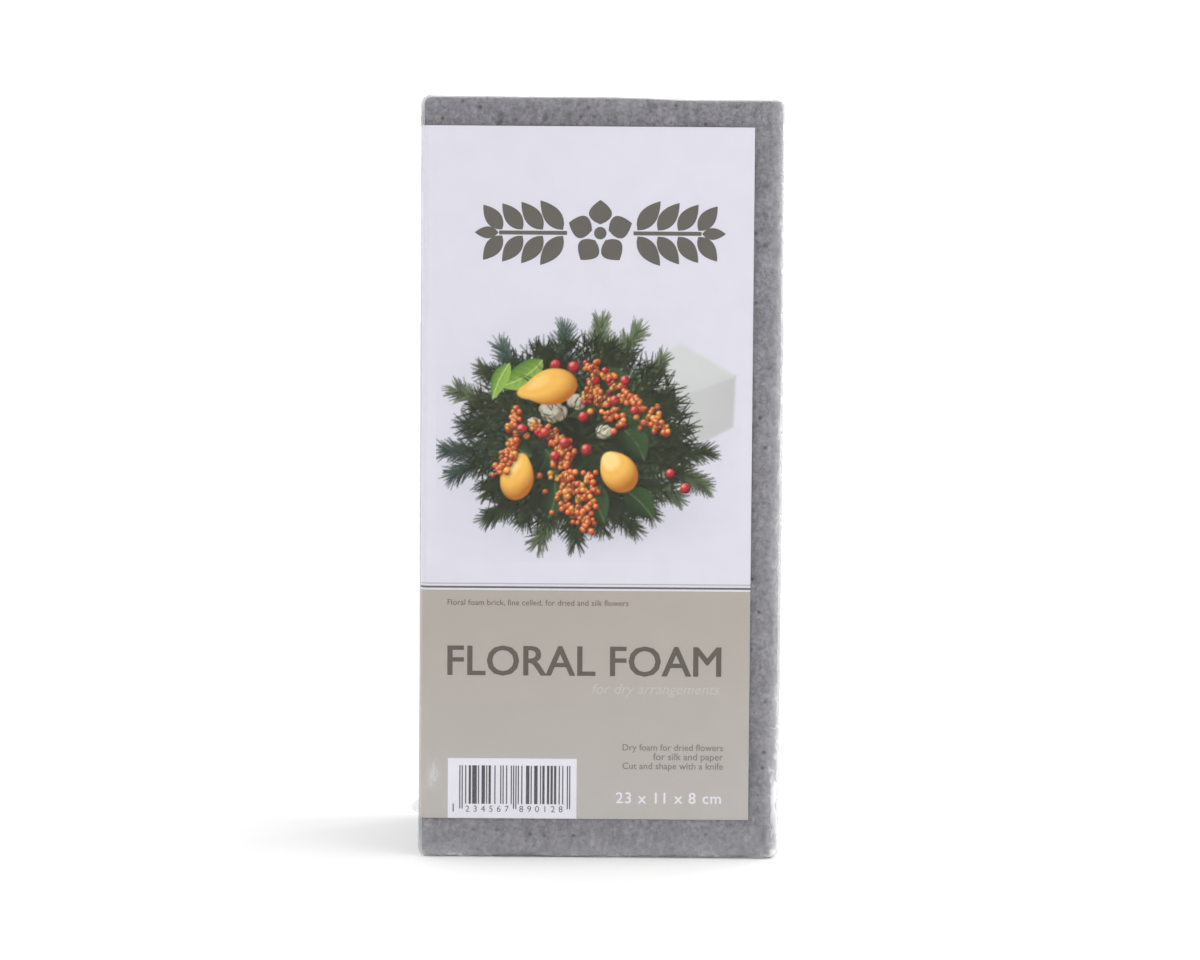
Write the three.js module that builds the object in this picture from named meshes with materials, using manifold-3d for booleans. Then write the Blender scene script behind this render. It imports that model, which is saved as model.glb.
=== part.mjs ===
// A brick of dry floral foam, sold singly: a printed leaflet lies on its broad face and folds
// round its left edge, and one clear shrink film holds the two together.
// Millimetres, +Z up. The brick stands on a short end with the leaflet facing -Y.

import * as THREE from 'three';
import { RoundedBoxGeometry } from 'three/addons/geometries/RoundedBoxGeometry.js';
import { mergeVertices } from 'three/addons/utils/BufferGeometryUtils.js';
import Module from 'manifold-3d';

const wasm = await Module();
wasm.setup();

// ---- Driving dimensions ----

const BRICK_WIDTH = 108;
const BRICK_DEPTH = 80;
const BRICK_HEIGHT = 230;
const BRICK_EDGE_RADIUS = 2;

const LEAFLET_WIDTH = 105; // flat, before it folds round the left edge
const LEAFLET_HEIGHT = 210;
const LEAFLET_THICKNESS = 0.2;
const LEAFLET_RIGHT_MARGIN = 8.4; // bare foam to the right of the leaflet
const LEAFLET_BOTTOM_MARGIN = 11.5; // bare foam below it

const FILM_THICKNESS = 0.25;
const GAP = 0.3; // air between touching pieces

const SEAM_THICKNESS = 0.5; // the film's weld, a thin ridge down the middle of the left side
const SEAM_PROUD = 0.5;
const EAR_PROUD = 1.5; // the seam flares into a small ear near each end
const EAR_HALF_LENGTH = 3;
const LOW_EAR_HEIGHT = 8.5;
const HIGH_EAR_HEIGHT = BRICK_HEIGHT - 6;

const VENT_DIAMETER = 3; // pinholes that let the air out as the film shrinks
const VENT_HEIGHTS = [60, 170];
const BACK_VENT_OFFSET = 30; // from the middle of the back, to each side

const CORNER_SEGMENTS = 4;

// ---- Faces that the pieces share ----

const LEFT = -BRICK_WIDTH / 2;
const RIGHT = BRICK_WIDTH / 2;
const FRONT = -BRICK_DEPTH / 2;
const BACK = BRICK_DEPTH / 2;

const LEAFLET_ROOM = GAP + LEAFLET_THICKNESS + GAP;
const CAVITY = new THREE.Box3(
  new THREE.Vector3(LEFT - LEAFLET_ROOM, FRONT - LEAFLET_ROOM, -GAP),
  new THREE.Vector3(RIGHT + GAP, BACK + GAP, BRICK_HEIGHT + GAP),
);
const FILM_OUTSIDE = CAVITY.clone().expandByScalar(FILM_THICKNESS);

// ---- Materials ----

const foamGrey = new THREE.MeshStandardMaterial({ color: '#828187', roughness: 0.95, metalness: 0 });
const coatedPaper = new THREE.MeshStandardMaterial({ color: '#e1dfeb', roughness: 0.45, metalness: 0 });
const clearFilm = new THREE.MeshStandardMaterial({
  color: '#eef0f4',
  roughness: 0.08,
  metalness: 0,
  transparent: true,
  opacity: 0.2,
});

// ---- Solids for cutting and joining ----

function solidFrom(geometry) {
  const bare = geometry.clone();
  bare.deleteAttribute('normal');
  bare.deleteAttribute('uv');
  const merged = mergeVertices(bare, 1e-4);
  return new wasm.Manifold(new wasm.Mesh({
    numProp: 3,
    vertProperties: new Float32Array(merged.attributes.position.array),
    triVerts: new Uint32Array(merged.index.array),
  }));
}

function geometryFrom(solid) {
  const mesh = solid.getMesh();
  const geometry = new THREE.BufferGeometry();
  geometry.setAttribute('position', new THREE.BufferAttribute(mesh.vertProperties, 3));
  geometry.setIndex(new THREE.BufferAttribute(mesh.triVerts, 1));
  geometry.computeVertexNormals();
  return geometry;
}

function roundedBlock(box, radius) {
  const size = box.getSize(new THREE.Vector3());
  const middle = box.getCenter(new THREE.Vector3());
  return new RoundedBoxGeometry(size.x, size.y, size.z, CORNER_SEGMENTS, radius)
    .translate(middle.x, middle.y, middle.z);
}

// ---- The foam brick: one block of rigid foam, its edges slightly broken ----

function makeFoamBrick() {
  const block = new THREE.Box3(
    new THREE.Vector3(LEFT, FRONT, 0),
    new THREE.Vector3(RIGHT, BACK, BRICK_HEIGHT),
  );
  const brick = new THREE.Mesh(roundedBlock(block, BRICK_EDGE_RADIUS), foamGrey);
  brick.name = 'foam_brick';
  return brick;
}

// ---- The leaflet: flat on the front, round the left front edge, and a little way along the side ----

function makeLeaflet() {
  const innerRadius = BRICK_EDGE_RADIUS + GAP;
  const outerRadius = innerRadius + LEAFLET_THICKNESS;
  const bend = new THREE.Vector2(LEFT + BRICK_EDGE_RADIUS, FRONT + BRICK_EDGE_RADIUS);
  const rightEdge = RIGHT - LEAFLET_RIGHT_MARGIN;
  const flatLength = rightEdge - bend.x;
  const bendLength = (innerRadius + outerRadius) / 2 * Math.PI / 2;
  const sideEdge = bend.y + LEAFLET_WIDTH - flatLength - bendLength;

  const section = new THREE.Shape();
  section.moveTo(rightEdge, bend.y - outerRadius);
  section.lineTo(rightEdge, bend.y - innerRadius);
  section.lineTo(bend.x, bend.y - innerRadius);
  section.absarc(bend.x, bend.y, innerRadius, Math.PI * 1.5, Math.PI, true);
  section.lineTo(bend.x - innerRadius, sideEdge);
  section.lineTo(bend.x - outerRadius, sideEdge);
  section.lineTo(bend.x - outerRadius, bend.y);
  section.absarc(bend.x, bend.y, outerRadius, Math.PI, Math.PI * 1.5, false);

  const sheet = new THREE.ExtrudeGeometry(section, {
    depth: LEAFLET_HEIGHT,
    bevelEnabled: false,
    curveSegments: 2 * CORNER_SEGMENTS,
  });
  const leaflet = new THREE.Mesh(sheet, coatedPaper);
  leaflet.name = 'label_insert';
  leaflet.position.z = LEAFLET_BOTTOM_MARGIN;
  return leaflet;
}

// ---- The shrink film: a thin closed bag with a weld seam on the left and small vents ----

function seamSolid() {
  const wall = FILM_OUTSIDE.min.x;
  const root = wall + FILM_THICKNESS / 2;
  const outline = new THREE.Shape();
  outline.moveTo(root, LOW_EAR_HEIGHT - EAR_HALF_LENGTH);
  outline.lineTo(root, HIGH_EAR_HEIGHT + EAR_HALF_LENGTH);
  outline.lineTo(wall - EAR_PROUD, HIGH_EAR_HEIGHT);
  outline.lineTo(wall - SEAM_PROUD, HIGH_EAR_HEIGHT - EAR_HALF_LENGTH);
  outline.lineTo(wall - SEAM_PROUD, LOW_EAR_HEIGHT + EAR_HALF_LENGTH);
  outline.lineTo(wall - EAR_PROUD, LOW_EAR_HEIGHT);
  outline.closePath();
  const strip = new THREE.ExtrudeGeometry(outline, { depth: SEAM_THICKNESS, bevelEnabled: false });
  return solidFrom(strip.translate(0, 0, -SEAM_THICKNESS / 2).rotateX(Math.PI / 2));
}

function ventSolids() {
  const reach = 2 * (GAP + FILM_THICKNESS);
  const punch = new THREE.CylinderGeometry(VENT_DIAMETER / 2, VENT_DIAMETER / 2, reach, 24);
  const vents = [];
  for (const height of VENT_HEIGHTS) {
    vents.push(solidFrom(punch.clone().rotateZ(Math.PI / 2).translate(FILM_OUTSIDE.max.x, 0, height)));
    for (const offset of [-BACK_VENT_OFFSET, BACK_VENT_OFFSET]) {
      vents.push(solidFrom(punch.clone().translate(offset, FILM_OUTSIDE.max.y, height)));
    }
  }
  return vents;
}

function makeFilm() {
  const cavityRadius = BRICK_EDGE_RADIUS + GAP;
  const outside = solidFrom(roundedBlock(FILM_OUTSIDE, cavityRadius + FILM_THICKNESS));
  const cavity = solidFrom(roundedBlock(CAVITY, cavityRadius));
  let bag = outside.add(seamSolid()).subtract(cavity);
  for (const vent of ventSolids()) {
    bag = bag.subtract(vent);
  }
  const film = new THREE.Mesh(geometryFrom(bag), clearFilm);
  film.name = 'shrink_film';
  return film;
}

// ---- The wrapped brick, with its origin at the middle of its base ----

const wrappedBrick = new THREE.Group();
wrappedBrick.add(makeFoamBrick(), makeLeaflet(), makeFilm());

const extent = new THREE.Box3().setFromObject(wrappedBrick);
const middle = extent.getCenter(new THREE.Vector3());
wrappedBrick.position.set(-middle.x, -middle.y, -extent.min.z);

export default wrappedBrick;
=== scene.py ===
# A brick of dry floral foam with its printed leaflet, in clear shrink film.
# Shapes are worked out in millimetres and become metres when their mesh is made.

import itertools
import math

import bpy
import numpy as np
from mathutils import Matrix, Vector


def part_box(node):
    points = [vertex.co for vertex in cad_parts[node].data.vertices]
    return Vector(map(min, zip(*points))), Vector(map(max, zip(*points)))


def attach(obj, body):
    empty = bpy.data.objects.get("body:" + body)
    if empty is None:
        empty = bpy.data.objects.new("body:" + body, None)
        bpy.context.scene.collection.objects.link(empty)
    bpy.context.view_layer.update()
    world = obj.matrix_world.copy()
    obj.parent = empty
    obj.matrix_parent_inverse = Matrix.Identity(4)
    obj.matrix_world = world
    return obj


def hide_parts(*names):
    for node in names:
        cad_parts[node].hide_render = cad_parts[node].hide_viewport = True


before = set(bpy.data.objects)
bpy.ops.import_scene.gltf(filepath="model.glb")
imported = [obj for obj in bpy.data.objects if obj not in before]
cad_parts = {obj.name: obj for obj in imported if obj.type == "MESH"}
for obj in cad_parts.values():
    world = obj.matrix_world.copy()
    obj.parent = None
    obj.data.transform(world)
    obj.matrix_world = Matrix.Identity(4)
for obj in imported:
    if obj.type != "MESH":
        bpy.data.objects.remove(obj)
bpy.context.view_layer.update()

MM = 0.001


# ---------------------------------------------------------------- places from the frame, in mm


def node_box(node):
    low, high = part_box(node)
    return np.array(low) / MM, np.array(high) / MM


FOAM_LOW, FOAM_HIGH = node_box("foam_brick")
LEAFLET_LOW, LEAFLET_HIGH = node_box("label_insert")
FILM_LOW, FILM_HIGH = node_box("shrink_film")

FOAM_RADIUS = 2.0
FOAM_GAP = 0.3  # from the foam to the back of the leaflet
LEAFLET_THICKNESS = 0.2
LEAFLET_WIDTH = 105.0  # flat, before it folds round the left edge
LEAFLET_HEIGHT = LEAFLET_HIGH[2] - LEAFLET_LOW[2]
INK = 0.02  # how far each layer of print stands off the one below it
SEAM_Y = (FOAM_LOW[1] + FOAM_HIGH[1]) / 2


# ---------------------------------------------------------------- small tools


def link(piece):
    bpy.context.scene.collection.objects.link(piece)
    return piece


def mesh_piece(name, vertices, faces, material, smooth=True):
    """An object from vertices in millimetres."""
    mesh = bpy.data.meshes.new(name)
    mesh.from_pydata((np.asarray(vertices) * MM).tolist(), [], faces)
    mesh.polygons.foreach_set("use_smooth", [smooth] * len(mesh.polygons))
    mesh.materials.append(material)
    return link(bpy.data.objects.new(name, mesh))


def quads(index):
    """Faces over a grid of vertex numbers."""
    corners = (index[:-1, :-1], index[:-1, 1:], index[1:, 1:], index[1:, :-1])
    return np.stack(corners, axis=-1).reshape(-1, 4).tolist()


def blobs(points, size, seed):
    """Smooth random values from -1 to 1 at each point, in blobs of that size."""
    grid = np.asarray(points, float) / size
    base = np.floor(grid)
    part = grid - base
    part = part * part * (3 - 2 * part)
    base = base.astype(np.int64)
    total = np.zeros(len(grid))
    for corner in itertools.product((0, 1), repeat=3):
        cell = base + corner
        mixed = cell[:, 0] * 73856093 ^ cell[:, 1] * 19349663 ^ cell[:, 2] * 83492791 ^ seed * 97531
        mixed = (mixed & 0xFFFFFFF) * 1103515245 + 12345
        mixed = (mixed ^ (mixed >> 13)) * 69069 + 1
        value = ((mixed >> 11) & 0xFFFF) / 32767.5 - 1
        total += value * np.where(corner, part, 1 - part).prod(axis=1)
    return total


def bell(value, middle, reach):
    """From 1 in the middle down to 0, most of the way at reach."""
    return np.exp(-(((value - middle) / reach) ** 2))


def fade(distance, reach):
    """From 1 at no distance down towards 0, past a third of it at reach."""
    return np.exp(-distance / reach)


def graded_stops(low, high, fine, coarse, near):
    """Places from low to high, close together near each (place, reach) in near."""
    places = np.linspace(low, high, 4001)
    nearness = np.max([bell(places, place, reach) for place, reach in near], axis=0)
    spacing = coarse - (coarse - fine) * nearness
    step = (high - low) / (len(places) - 1)
    count = np.concatenate(([0], np.cumsum(step / (spacing[1:] + spacing[:-1]) * 2)))
    wanted = np.linspace(0, count[-1], int(round(count[-1])) + 1)
    return np.interp(wanted, count, places)


def block_skin(stops):
    """A closed skin of quads over a block, with lines at the given stops along X, Y and Z."""
    last = [len(s) - 1 for s in stops]
    index = {}
    vertices = []
    faces = []

    def vertex(key):
        if key not in index:
            index[key] = len(vertices)
            vertices.append([stops[axis][key[axis]] for axis in range(3)])
        return index[key]

    for axis in range(3):
        across, along = (axis + 1) % 3, (axis + 2) % 3
        for side in (0, last[axis]):
            for p, q in itertools.product(range(last[across]), range(last[along])):
                ring = [(p, q), (p + 1, q), (p + 1, q + 1), (p, q + 1)]
                if side == 0:
                    ring.reverse()
                face = []
                for a, b in ring:
                    key = [0, 0, 0]
                    key[axis], key[across], key[along] = side, a, b
                    face.append(vertex(tuple(key)))
                faces.append(face)
    return np.array(vertices), faces


def round_off(points, low, high, radius):
    """Points of a block's skin moved onto its rounded form, and their outward directions."""
    inner = np.clip(points, low + radius, high - radius)
    away = points - inner
    outward = away / np.linalg.norm(away, axis=1, keepdims=True)
    return inner + outward * radius, outward


# ---------------------------------------------------------------- materials


class Nodes:
    """The node tree of a material or world, with short ways to add and join nodes."""

    def __init__(self, owner, output="ShaderNodeOutputMaterial"):
        self.owner = owner
        owner.use_nodes = True
        self.tree = owner.node_tree
        self.tree.nodes.clear()
        self.output = self.add(output)

    def put(self, value, socket):
        """Sets a socket to a plain value, or joins another node's output to it."""
        if isinstance(value, bpy.types.NodeSocket):
            self.tree.links.new(value, socket)
        else:
            socket.default_value = value

    def add(self, kind, **values):
        """A new node; values go to its inputs by name, or else to its settings."""
        node = self.tree.nodes.new(kind)
        for key, value in values.items():
            if key in node.inputs:
                self.put(value, node.inputs[key])
            else:
                setattr(node, key, value)
        return node

    def place(self, scale=(1.0, 1.0, 1.0)):
        """The piece's own coordinates, in metres times scale."""
        own = self.add("ShaderNodeTexCoord").outputs["Object"]
        return self.add("ShaderNodeMapping", Vector=own, Scale=scale).outputs["Vector"]

    def split(self, vector):
        return self.add("ShaderNodeSeparateXYZ", Vector=vector).outputs

    def noise(self, place, scale, detail=2.0, roughness=0.5):
        node = self.add("ShaderNodeTexNoise", Vector=place, Scale=scale, Detail=detail, Roughness=roughness)
        return node.outputs["Fac"]

    def cells(self, place, scale, feature="F1"):
        node = self.add("ShaderNodeTexVoronoi", feature=feature, Vector=place, Scale=scale)
        return node.outputs["Distance"]

    def ranged(self, source, low, high, new_low, new_high):
        names = ("Value", "From Min", "From Max", "To Min", "To Max")
        values = dict(zip(names, (source, low, high, new_low, new_high)))
        return self.add("ShaderNodeMapRange", **values).outputs["Result"]

    def maths(self, operation, first, *others):
        """One number from several, worked out two at a time, or from one alone."""
        for other in others or (0.0,):
            node = self.add("ShaderNodeMath", operation=operation)
            self.put(first, node.inputs[0])
            self.put(other, node.inputs[1])
            first = node.outputs["Value"]
        return first

    def ridge(self, source):
        """How far a value is from 0.5."""
        return self.maths("ABSOLUTE", self.maths("SUBTRACT", source, 0.5))

    def scaled(self, colour, factor):
        """A colour, plain or from a node, times a factor from a node."""
        node = self.add("ShaderNodeVectorMath", operation="SCALE", Scale=factor)
        self.put(colour, node.inputs[0])
        return node.outputs["Vector"]

    def bump(self, height, distance, strength=1.0):
        node = self.add("ShaderNodeBump", Height=height, Distance=distance, Strength=strength)
        return node.outputs["Normal"]

    def mix(self, share, first, second):
        node = self.add("ShaderNodeMixShader", Fac=share)
        self.put(first.outputs[0], node.inputs[1])
        self.put(second.outputs[0], node.inputs[2])
        return node

    def finish(self, shader):
        """Joins the last shader to the output, and gives back what the tree belongs to."""
        self.put(shader.outputs[0], self.output.inputs["Surface"])
        return self.owner

    def surface(self, colour, roughness, specular, **normal):
        """Finishes the tree with one Principled shader."""
        values = {"Base Color": colour, "Roughness": roughness, "Specular IOR Level": specular}
        return self.finish(self.add("ShaderNodeBsdfPrincipled", **values, **normal))


def painted_leaflet_shadow(n, place):
    """A factor below 1 on the front just beside the leaflet's edges: a painted contact shadow, the darker
    line there.
    """
    x, y, z = n.split(place)
    middle = (LEAFLET_LOW + LEAFLET_HIGH) / 2 * MM
    half = (LEAFLET_HIGH - LEAFLET_LOW) / 2 * MM
    outside = []
    for value, axis in ((x, 0), (z, 2)):
        off = n.maths("ABSOLUTE", n.maths("SUBTRACT", value, middle[axis]))
        outside.append(n.maths("SUBTRACT", off, half[axis]))
    beside = n.ranged(n.maths("MAXIMUM", *outside), 0.0, 2.2 * MM, 0.13, 0.0)
    front = n.ranged(y, (FOAM_LOW[1] + 0.5) * MM, (FOAM_LOW[1] + 1.5) * MM, 1.0, 0.0)
    return n.maths("SUBTRACT", 1.0, n.maths("MULTIPLY", beside, front))


def foam_material():
    """Dry phenolic foam: a fine matt crumb, mottled, with pinholes, short cracks, a few voids and dents
    darkened as painted shade, and a painted shadow beside the leaflet.
    """
    n = Nodes(bpy.data.materials.new("dry_foam"))
    place = n.place()
    patches = n.noise(place, 260.0, 3.0)
    streaks = n.noise(n.place((1.0, 1.0, 0.3)), 560.0, 3.0)
    mottle = n.noise(place, 700.0)
    crumb = n.noise(place, 1500.0, 4.0, 0.7)
    cracks = n.ridge(n.noise(place, 430.0, 3.0, 0.6))
    pinholes = n.cells(place, 1050.0)
    voids = n.cells(place, 190.0)
    flecks = n.noise(place, 900.0, 1.0)
    dents = n.noise(n.place((1.0, 1.0, 0.7)), 310.0)
    tone = n.maths(
        "MULTIPLY",
        n.ranged(patches, 0.3, 0.7, 0.9, 1.1),
        n.ranged(streaks, 0.35, 0.65, 0.9, 1.1),
        n.ranged(mottle, 0.34, 0.66, 0.84, 1.16),
        n.ranged(crumb, 0.3, 0.7, 0.93, 1.07),
        # painted shade: darker in the cracks, pinholes and voids
        n.ranged(cracks, 0.0, 0.022, 0.66, 1.0),
        n.ranged(pinholes, 0.05, 0.3, 0.8, 1.0),
        n.ranged(voids, 0.06, 0.15, 0.45, 1.0),
        n.ranged(flecks, 0.7, 0.78, 1.0, 1.3),
        # painted shade: darker in the dents
        n.ranged(dents, 0.64, 0.72, 1.0, 0.72),
        # painted contact shadow along the leaflet's edges
        painted_leaflet_shadow(n, place),
    )
    height = n.maths(
        "ADD",
        n.maths("MULTIPLY", crumb, 0.6),
        n.ranged(pinholes, 0.0, 0.35, -0.5, 0.0),
        n.ranged(voids, 0.0, 0.16, -1.2, 0.0),
        n.ranged(cracks, 0.0, 0.03, -0.3, 0.0),
    )
    return n.surface(n.scaled(FOAM_COLOUR, tone), 0.95, 0.15, Normal=n.bump(height, 0.00034))


def printed_paper(name, colour=None, foot_colour=None):
    """Coated paper in one ink, or in the colours painted on the mesh where colour is None.

    With a foot_colour the ink runs from that at the foot of the panel to colour at its top.
    """
    n = Nodes(bpy.data.materials.new(name))
    place = n.place()
    tone = n.ranged(n.noise(place, 160.0, 4.0), 0.3, 0.7, 0.985, 1.015)
    if colour is None:
        colour = n.add("ShaderNodeAttribute", attribute_name=PAINT).outputs["Color"]
    if foot_colour is not None:
        foot, top = (LEAFLET_LOW[2] + 8) * MM, (LEAFLET_LOW[2] + 62) * MM
        ramp = n.add("ShaderNodeValToRGB", Fac=n.ranged(n.split(place)["Z"], foot, top, 0.0, 1.0))
        for stop, ink in zip(ramp.color_ramp.elements, (foot_colour, colour)):
            stop.color = (*ink, 1.0)
        colour = ramp.outputs["Color"]
    fibres = n.noise(n.place((1.0, 1.0, 0.4)), 2600.0)
    roughness = n.ranged(fibres, 0.3, 0.7, 0.37, 0.47)
    return n.surface(n.scaled(colour, tone), roughness, 0.22, Normal=n.bump(fibres, 0.00002, 0.6))


def film_material():
    """Clear shrink film: seen through, glossier edge on, crinkled and cloudy where it is loose, with white
    cloudy patches as painted glints, and painted brightening carried in the film's looseness attribute.

    It is drawn tight over the leaflet and lightly creased everywhere behind the front.
    """
    n = Nodes(bpy.data.materials.new("clear_film"))
    place = n.place()
    slack_and_painted_light = n.add("ShaderNodeAttribute", attribute_name=SLACK_AND_LIGHT).outputs["Fac"]
    ripples = n.noise(n.place((1.0, 1.0, 0.5)), 95.0, 3.0)
    grain = n.noise(place, 700.0)
    creases = n.ridge(n.noise(n.place((1.0, 1.0, 0.36)), 380.0, 2.0, 0.55))
    behind = n.ranged(n.split(place)["Y"], (FILM_LOW[1] + 3) * MM, (FILM_LOW[1] + 12) * MM, 0.0, 1.0)
    facets = n.cells(n.place((1.0, 1.0, 0.32)), 36.0, "DISTANCE_TO_EDGE")
    folds = n.maths(
        "MULTIPLY",
        n.ranged(n.noise(place, 38.0), 0.5, 0.64, 0.0, 1.0),
        n.ranged(facets, 0.0, 0.035, 1.0, 0.0),
        behind,
    )
    height = n.maths(
        "ADD",
        ripples,
        n.maths("MULTIPLY", grain, 0.06),
        n.maths("MULTIPLY", folds, 0.7),
        n.maths("MULTIPLY", slack_and_painted_light, n.ranged(creases, 0.0, 0.12, 1.2, 0.0)),
    )
    normal = n.bump(height, 0.0006, 0.5)
    edge_on = n.add("ShaderNodeLayerWeight", Blend=0.5, Normal=normal).outputs["Facing"]
    shine = n.ranged(n.maths("POWER", edge_on, 2.0), 0.0, 1.0, FILM_SHINE, FILM_RIM_SHINE)
    rim = n.maths("POWER", edge_on, 5.0)
    # painted glints: white cloudy patches where the film is loose
    painted_glints = n.ranged(n.noise(n.place((1.0, 1.0, 0.42)), 330.0, 2.0, 0.45), 0.55, 0.6, 0.0, 1.0)
    painted_glints = n.maths("MULTIPLY", painted_glints, n.ranged(slack_and_painted_light, 0.25, 0.55, 0.0, 1.0))
    lines = n.ranged(creases, 0.008, 0.03, 0.9, 0.5)
    murk_and_glints = n.maths("MAXIMUM", n.ranged(painted_glints, 0.0, 1.0, 0.55, 1.0), lines)
    # how cloudy the film is, with painted glints and painted brightening mixed in
    haze_and_painted_light = n.maths(
        "MAXIMUM",
        n.maths("MULTIPLY", slack_and_painted_light, murk_and_glints),
        n.maths("MULTIPLY", rim, FILM_RIM_HAZE),
        n.maths("MULTIPLY", folds, 0.18),
        n.maths("MULTIPLY", behind, 0.05),
    )
    grey = n.maths("MAXIMUM", n.ranged(painted_glints, 0.0, 1.0, 0.6, 0.92), n.ranged(rim, 0.0, 0.6, 0.88, 0.7))
    clear = n.add("ShaderNodeBsdfTransparent", Color=(0.985, 0.985, 0.985, 1.0))
    gloss = n.add("ShaderNodeBsdfGlossy", Color=(1.0, 1.0, 1.0, 1.0), Roughness=0.09, Normal=normal)
    cloud = n.add("ShaderNodeBsdfDiffuse", Color=n.scaled((1.0, 1.0, 1.02), grey))
    return n.finish(n.mix(haze_and_painted_light, n.mix(shine, clear, gloss), cloud))


PAINT = "paint"
SLACK_AND_LIGHT = "slack_and_painted_light"
FILM_SHINE = 0.012  # what the film mirrors when seen head on
FILM_RIM_SHINE = 0.35  # and when seen edge on
FILM_RIM_HAZE = 0.8  # how cloudy it looks edge on
FOAM_COLOUR = (0.23, 0.225, 0.249)
PAPER_WHITE = (0.68, 0.671, 0.748)
PANEL_BEIGE = (0.42, 0.383, 0.344)
PANEL_BEIGE_FOOT = (0.462, 0.434, 0.408)
PLAIN_INKS = {
    "olive": (0.125, 0.116, 0.102),
    "heading": (0.115, 0.098, 0.084),
    "dark": (0.07, 0.068, 0.08),
    "grey": (0.22, 0.20, 0.185),
    "faint": (0.52, 0.49, 0.46),
    "hairline": (0.44, 0.435, 0.46),
    "white": (0.76, 0.745, 0.81),
}

foam_look = foam_material()
paper_look = printed_paper("coated_paper", PAPER_WHITE)
film_look = film_material()
inks = {ink: printed_paper(ink + "_print", colour) for ink, colour in PLAIN_INKS.items()}
inks["beige"] = printed_paper("beige_print", PANEL_BEIGE, PANEL_BEIGE_FOOT)
inks["painted"] = printed_paper("painted_print")


# ---------------------------------------------------------------- camera, floor and light

VIEW_WIDTH = 363.1  # of the picture, at the leaflet
CAMERA_DISTANCE = 1100.0  # from the leaflet
CAMERA_SHIFT_X = -0.25
CAMERA_SHIFT_Z = -0.02
SENSOR_WIDTH = 36.0
CAMERA_ROLL = math.radians(0.42)
CAMERA_PITCH = math.radians(4.0)  # down
WORLD_FRONT = 0.825
WORLD_BACK = 1.4


def make_camera():
    data = bpy.data.cameras.new("camera")
    data.sensor_width = SENSOR_WIDTH
    data.lens = SENSOR_WIDTH * CAMERA_DISTANCE / VIEW_WIDTH
    camera = link(bpy.data.objects.new("camera", data))
    middle = (FOAM_LOW + FOAM_HIGH) / 2
    target = Vector((middle[0] + CAMERA_SHIFT_X, LEAFLET_LOW[1], middle[2] + CAMERA_SHIFT_Z)) * MM
    turn = Matrix.Rotation(math.radians(90) - CAMERA_PITCH, 4, "X")
    back = turn @ Vector((0, 0, CAMERA_DISTANCE * MM))
    camera.matrix_world = Matrix.Translation(target + back) @ turn @ Matrix.Rotation(CAMERA_ROLL, 4, "Z")
    bpy.context.scene.camera = camera


def make_floor():
    size = 6000.0
    corners = [(-size, -size, 0), (size, -size, 0), (size, size, 0), (-size, size, 0)]
    look = Nodes(bpy.data.materials.new("studio_floor")).surface((0.97, 0.97, 0.97, 1.0), 0.8, 0.1)
    mesh_piece("floor", corners, [(0, 1, 2, 3)], look)


def area_light(name, place, target_height, width, height, power):
    """A lamp that faces the brick's axis; its numbers are in metres and watts."""
    data = bpy.data.lights.new(name, "AREA")
    data.shape = "RECTANGLE"
    data.size = width
    data.size_y = height
    data.energy = power
    light = link(bpy.data.objects.new(name, data))
    light.location = place
    light.rotation_euler = (Vector((0, 0, target_height)) - Vector(place)).to_track_quat("-Z", "Y").to_euler()


def make_light():
    """White all round, a little brighter behind the brick than in front of it, and four lamps."""
    world = bpy.data.worlds.new("studio")
    bpy.context.scene.world = world
    n = Nodes(world, "ShaderNodeOutputWorld")
    direction = n.add("ShaderNodeTexCoord").outputs["Generated"]
    strength = n.ranged(n.split(direction)["Y"], -0.6, 0.8, WORLD_FRONT, WORLD_BACK)
    n.finish(n.add("ShaderNodeBackground", Color=(1.0, 1.0, 1.0, 1.0), Strength=strength))
    area_light("key_softbox", (0.62, -0.55, 0.45), 0.1, 0.6, 0.7, 1.7)
    area_light("edge_strip", (1.2, 0.15, 0.5), 0.1, 0.5, 1.0, 5.0)
    area_light("back_right_strip", (0.95, 0.95, 0.35), 0.12, 0.14, 0.9, 2.6)
    area_light("front_left_strip", (-0.95, -0.95, 0.35), 0.12, 0.14, 0.9, 1.2)
    bpy.context.scene.view_settings.view_transform = "Standard"


make_camera()
make_floor()
make_light()


# ---------------------------------------------------------------- the foam brick

TOP_DROP = 0.75  # how much lower the brick's sawn top is at the right than at the left


def sawn_top(points):
    """Lowers the top end towards the right, for the foam and for the film over it."""
    right = np.clip((points[:, 0] - FOAM_LOW[0] - 55) / 30, 0, 1)
    near_top = np.clip((points[:, 2] - FOAM_HIGH[2] + 8) / 7, 0, 1)
    points[:, 2] -= TOP_DROP * right**2 * (3 - 2 * right) * near_top


def make_foam():
    """The block, its sawn faces slightly uneven and its edges a little crumbled."""
    low = FOAM_LOW - (0.0, 0.0, 0.1)
    high = FOAM_HIGH + (0.3, 0.1, 0.2)
    stops = [graded_stops(low[a], high[a], 0.8, 1.15, [(low[a], 4), (high[a], 4)]) for a in range(3)]
    flat, faces = block_skin(stops)
    points, outward = round_off(flat, low, high, FOAM_RADIUS)
    on_edge = 1 - np.abs(outward).max(axis=1)
    hollow = 0.16 * (blobs(points, 40, 1) + 1) / 2 + 0.07 * (blobs(points, 7, 2) + 1) / 2
    dents = 0.55 * np.clip(blobs(points, 5, 3) - 0.66, 0, 1) / 0.34
    crumble = np.clip(on_edge / 0.25, 0, 1) * 0.5 * np.clip(blobs(points, 3, 4) + 0.2, 0, 1)
    points -= outward * (hollow + dents + crumble)[:, None]
    sawn_top(points)
    brick = mesh_piece("foam_block", points, faces, foam_look)
    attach(brick, "root")
    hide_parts("foam_brick")


make_foam()


# ---------------------------------------------------------------- the picture on the leaflet


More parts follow.
